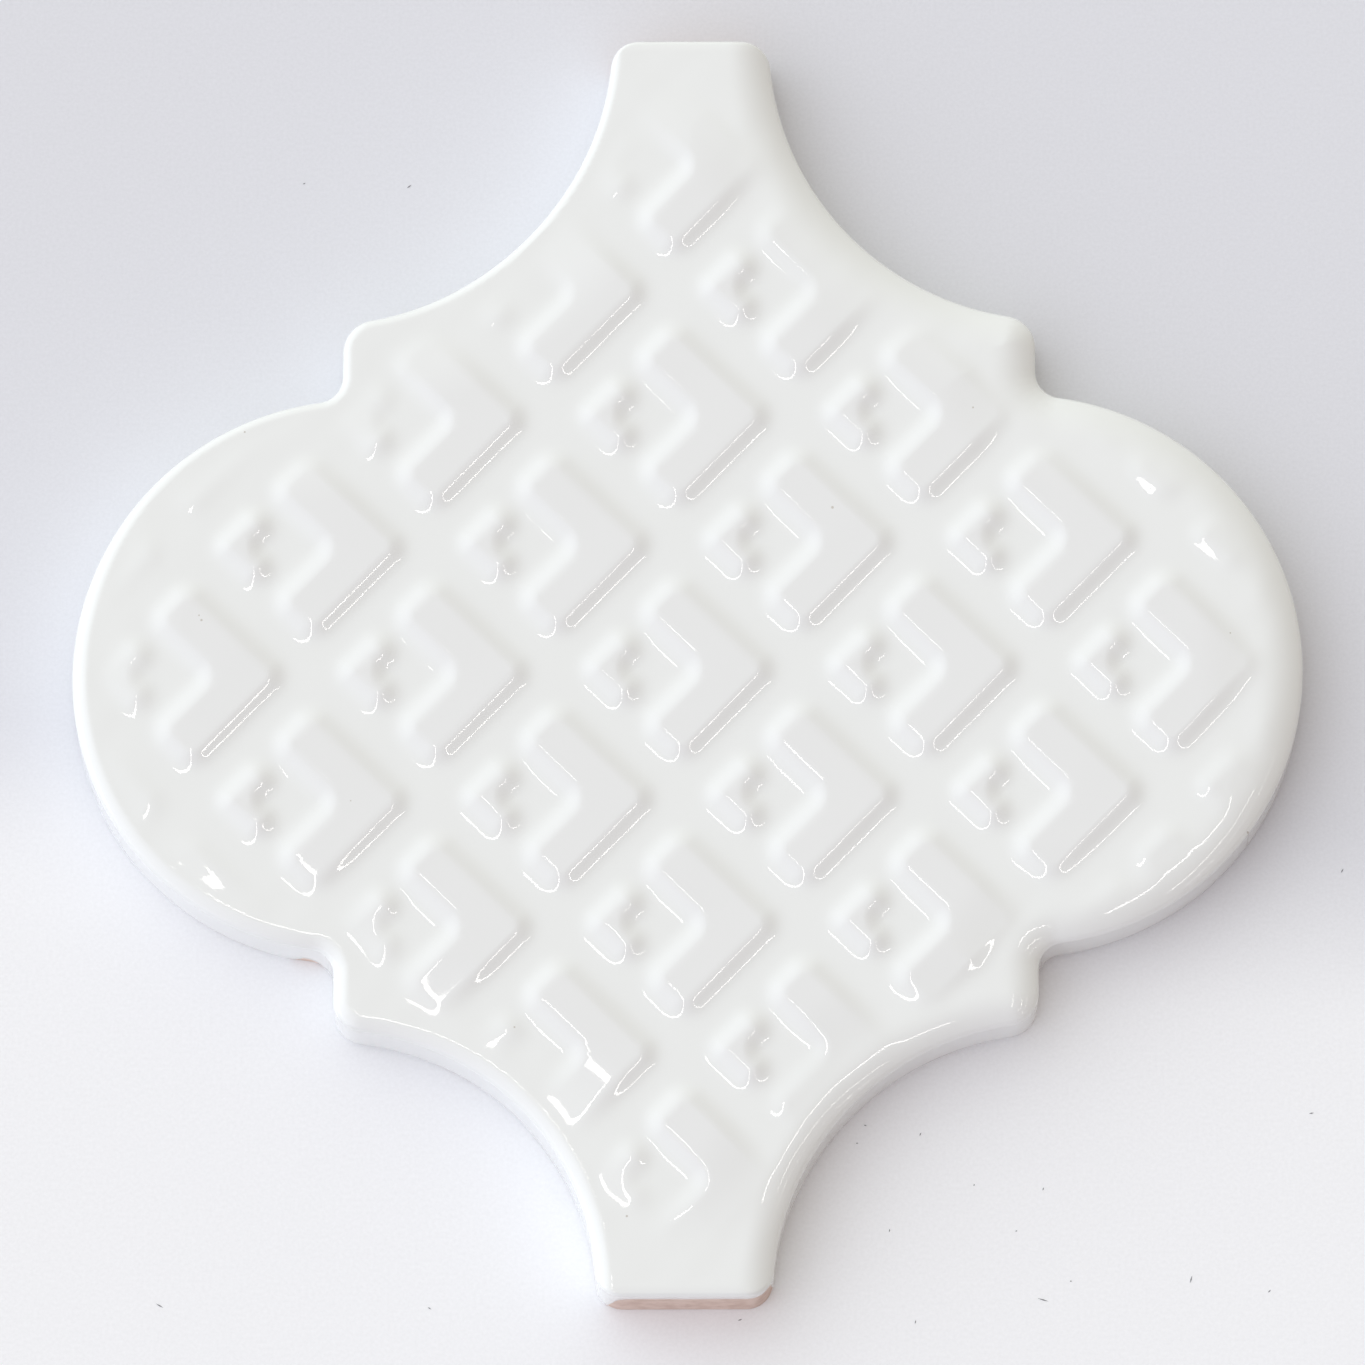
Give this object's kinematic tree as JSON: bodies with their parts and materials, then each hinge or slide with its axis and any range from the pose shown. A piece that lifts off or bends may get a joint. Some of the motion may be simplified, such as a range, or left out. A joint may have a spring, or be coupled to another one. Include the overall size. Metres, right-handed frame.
{
  "type": "arabesque wall tile",
  "caption": "Arabesque wall tile with straight neck ends, round lobes and a raised chevron relief under a gloss white glaze.",
  "frame": {"origin": "centre of the flat back, midway between the two lobes and midway between the two neck ends", "axes": "+X to the right lobe, the way the wide chevrons point; +Y to the far neck end; +Z out of the decorated face"},
  "size_m": [0.15, 0.1564, 0.0108],
  "materials": {
    "glaze": "high gloss white glaze over a pinkish beige fired body"
  },
  "bodies": {
    "root": {"tile": "glaze"}
  },
  "joints": []
}
